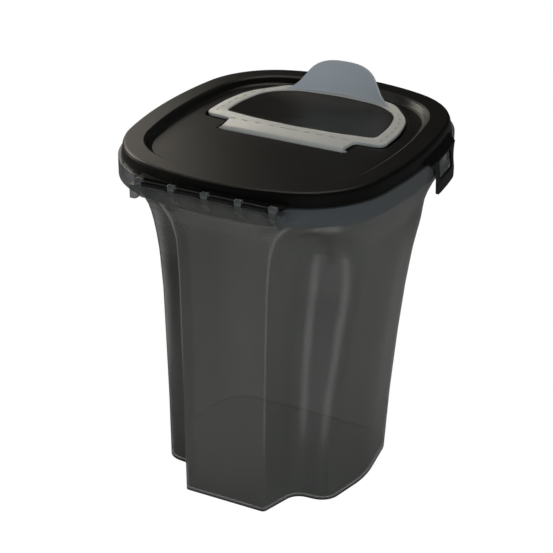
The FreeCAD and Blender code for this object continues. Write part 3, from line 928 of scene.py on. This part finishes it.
@dataclass
class PourDoor:
    """The grey pour door, its dished panel and its gasket.

    Attributes:
        seal: the gasket's CAD node.
        top: height of the frame's top face.
        thickness: thickness of the frame.
        frame_round: rounding of the frame's edges.
        outline: half outline of the frame behind the hinge barrel.
        opening: half outline of the dish.
        barrel: radius and half length of the hinge barrel.
        pins: radius and half length of the rod whose ends are the pins.
        axis: y and height of the barrel's middle.
        rod_round: rounding of the ends of barrel and pins.
        tab_y: the tab's middle, at the rear of the frame.
        tab_below: how far below the frame's top the tab's height counts from.
        tab_root: how much further down the tab goes into the frame.
        lean: how far the thumb tab leans back, in degrees.
        bell: height of the thumb tab over the distance from its middle.
        bow: how fast the tab curves forward to its sides, per millimetre.
        tab_wall: thickness of the tab.
        tab_round: rounding of its edges.
        tab_faces: how many faces it has across and up.
        front_dashes: x of the short dashes along the front.
        front_dash_y: their y.
        front_dash: their length.
        long_dash: x, y and length of the long dash among them.
        side_dashes: x and y of the dashes along the right side.
        side_dash: their length.
        side_slope: how far a side dash goes inwards for each millimetre that it goes to the rear.
        side_bend: y where that slope starts to grow, and its growth per millimetre.
        dash_section: width and height of a dash's bar, half of it above the frame.
        dash_round: rounding of its edges.
        dish_fit: width of the dish against the opening's.
        dish_foot: height of the lower edge of its outer wall.
        dish_below: how far its rim lies below the frame's top.
        rim_step: height of the small bevel round its rim.
        rim_share: size of the bevel's inner edge against its outer edge.
        dish_bottom: height of its lowest point.
        dish_y: the middle of its rings.
        dish_power: how full its hollow is.
        dish_rings: how many rings make it.
    """

    seal: str = "pour_door_seal"
    top: float = 310.0
    thickness: float = 3.0
    frame_round: float = 0.9
    outline: tuple[Corner, ...] = (
        (58.5, -13.0, 0.8), (61.0, 3.6, 3.5), (87.0, 5.6, 7.5), (86.8, 40, 12), (80, 72, 14), (52, 106, 13))
    opening: tuple[Corner, ...] = (
        (0, 12.0, 8), (40, 14.2, 8), (73, 18.6, 5), (73.3, 46, 12), (66, 78, 12), (44, 95, 12), (0, 100, 20))
    barrel: tuple[float, float] = (4.4, 58.5)
    pins: tuple[float, float] = (1.2, 65.5)
    axis: tuple[float, float] = (-13.0, 305.6)
    rod_round: float = 0.5
    tab_y: float = 105.0
    tab_below: float = 1.4
    tab_root: float = 1.6
    lean: float = 15.0
    bell: tuple[tuple[float, float], ...] = (
        (0, 31.0), (11, 30.6), (20, 28.9), (27, 25.6), (31.5, 21.8), (35, 17.2), (38, 12.8), (41.5, 8.2),
        (47.5, 3.3), (55.5, 0.6))
    bow: float = 0.0036
    tab_wall: float = 2.2
    tab_round: float = 0.8
    tab_faces: tuple[int, int] = (110, 14)
    front_dashes: tuple[float, ...] = (-58, -46, -33, -20, 15, 27, 39.5, 52)
    front_dash_y: float = 3.7
    front_dash: float = 5.6
    long_dash: Triple = (-2.5, 3.4, 17.0)
    side_dashes: tuple[tuple[float, float], ...] = (
        (80.2, 16), (80.6, 27), (80.3, 38), (79.0, 49), (76.6, 60), (73.4, 70), (67.6, 80))
    side_dash: float = 4.2
    side_slope: float = 0.2
    side_bend: tuple[float, float] = (42.0, 0.016)
    dash_section: tuple[float, float] = (1.1, 0.4)
    dash_round: float = 0.12
    dish_fit: float = 0.996
    dish_foot: float = 300.0
    dish_below: float = 0.8
    rim_step: float = 0.5
    rim_share: float = 0.994
    dish_bottom: float = 301.6
    dish_y: float = 56.0
    dish_power: float = 2.2
    dish_rings: int = 25

    def build(self) -> None:
        """Builds and dresses the door."""
        grey = GREY.build()
        self.frame(grey)
        self.hinge(grey)
        self.tab(TAB.build())
        self.dashes(DASH.build())
        self.dish(PANEL.build())
        dress(self.seal, SEAL)

    def frame(self, grey: bpy.types.Material) -> None:
        """Makes the flat frame with its soft edges.

        Args:
            grey: the frame's finish.
        """
        half = self.thickness / 2.0
        shape = outlined(
            [mirrored(self.outline), mirrored(self.opening)], self.top - half, "BOTH",
            half - self.frame_round, self.frame_round)
        piece = add_piece("door_frame", shape, "pour_door", grey)
        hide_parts("pour_door")

    def hinge(self, grey: bpy.types.Material) -> None:
        """Makes the barrel along the front edge and the two pins.

        Args:
            grey: the frame's finish.
        """
        shape = bmesh.new()
        for radius, half in (self.barrel, self.pins):
            add_rod(shape, radius, 2 * half, (0.0, self.axis[0] + LID_CENTRE_Y, self.axis[1]))
        round_rods(shape, self.rod_round)
        add_piece("door_barrel", shape, "pour_door", grey)

    def tab(self, finish: bpy.types.Material) -> None:
        """Makes the bell-shaped thumb tab, bowed with the rear of the frame and leaning back.

        Args:
            finish: its finish.
        """
        shape = bmesh.new()
        bmesh.ops.create_grid(shape, x_segments=self.tab_faces[0], y_segments=self.tab_faces[1], size=1.0)
        lean = math.radians(self.lean)
        widest = self.bell[-1][0]
        for vert in shape.verts:
            x = vert.co.x * widest
            up = -self.tab_root + (vert.co.y + 1.0) / 2.0 * (between(self.bell, abs(x)) + self.tab_root)
            bowed = self.tab_y + LID_CENTRE_Y - self.bow * x * x
            vert.co = Vector((
                x, bowed + math.sin(lean) * up, self.top - self.tab_below + math.cos(lean) * up))
        bmesh.ops.recalc_face_normals(shape, faces=shape.faces)
        bmesh.ops.solidify(shape, geom=shape.faces[:], thickness=self.tab_wall)
        piece = add_piece("thumb_tab", shape, "pour_door", finish)
        rounding = piece.modifiers.new("rounding", "BEVEL")
        rounding.width = self.tab_round * MM
        rounding.segments = ROUNDING_STEPS
        rounding.limit_method = "ANGLE"
        rounding.angle_limit = math.radians(SHARP_DEGREES)
        rounding.harden_normals = False

    def dash_places(self) -> list[tuple[float, float, float, float]]:
        """Lists the dashes.

        Returns:
            The x, y, turn in radians and length of each.
        """
        places = [(x, self.front_dash_y, 0.0, self.front_dash) for x in self.front_dashes]
        x, y, length = self.long_dash
        places.append((x, y, 0.0, length))
        bend_y, growth = self.side_bend
        for x, y in self.side_dashes:
            turn = math.atan2(1.0, -self.side_slope - max(0.0, y - bend_y) * growth)
            places += [(x, y, turn, self.side_dash), (-x, y, math.pi - turn, self.side_dash)]
        return places

    def dashes(self, finish: bpy.types.Material) -> None:
        """Makes the small raised dashes on the frame, in place of the real one's moulded marks.

        Args:
            finish: their finish.
        """
        width, height = self.dash_section
        shape = bmesh.new()
        for x, y, turn, length in self.dash_places():
            where = Matrix.Translation((x, y + LID_CENTRE_Y, self.top)) @ Matrix.Rotation(turn, 4, "Z")
            bar = Matrix.Diagonal((length, width, height, 1.0))
            bmesh.ops.create_cube(shape, size=1.0, matrix=where @ bar)
        bmesh.ops.bevel(
            shape, geom=shape.edges[:], offset=self.dash_round, offset_type="OFFSET", segments=2,
            profile=0.5, affect="EDGES", material=-1)
        add_piece("frame_dashes", shape, "pour_door", finish)

    def dish(self, finish: bpy.types.Material) -> None:
        """Makes the dished panel: an outer wall, a bevelled rim and a smooth hollow.

        Args:
            finish: its finish.
        """
        centre = Vector((0.0, self.dish_y + LID_CENTRE_Y, 0.0))
        rim = self.top - self.dish_below
        loop = [(x * self.dish_fit, y, reach) for x, y, reach in mirrored(self.opening)]
        shape = outlined([loop], self.dish_foot)
        edges = grow(shape, shape.edges[:], 1.0, centre, -(rim - self.rim_step - self.dish_foot))
        edges = grow(shape, edges, self.rim_share, centre, -self.rim_step)
        depth = rim - self.dish_bottom
        reached, level = 1.0, 0.0
        for step in range(1, self.dish_rings):
            radius = math.cos(step / self.dish_rings * math.pi / 2)
            below = depth * (1.0 - radius ** self.dish_power)
            edges = grow(shape, edges, radius / reached, centre, below - level)
            reached, level = radius, below
        bmesh.ops.edgeloop_fill(shape, edges=edges)
        piece = add_piece("door_dish", shape, "pour_door", finish)
        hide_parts("pour_door_panel")


def main() -> None:
    """Builds and dresses every sub-assembly, then reports."""
    logging.basicConfig(level=logging.INFO, format="%(name)s: %(message)s")
    Studio().build()
    for part in (ContainerBody(), Lid(), PourDoor()):
        part.build()
        LOG.info("%s done", type(part).__name__)
    bpy.context.scene.view_settings.view_transform = "Standard"


if __name__ == "__main__":
    main()
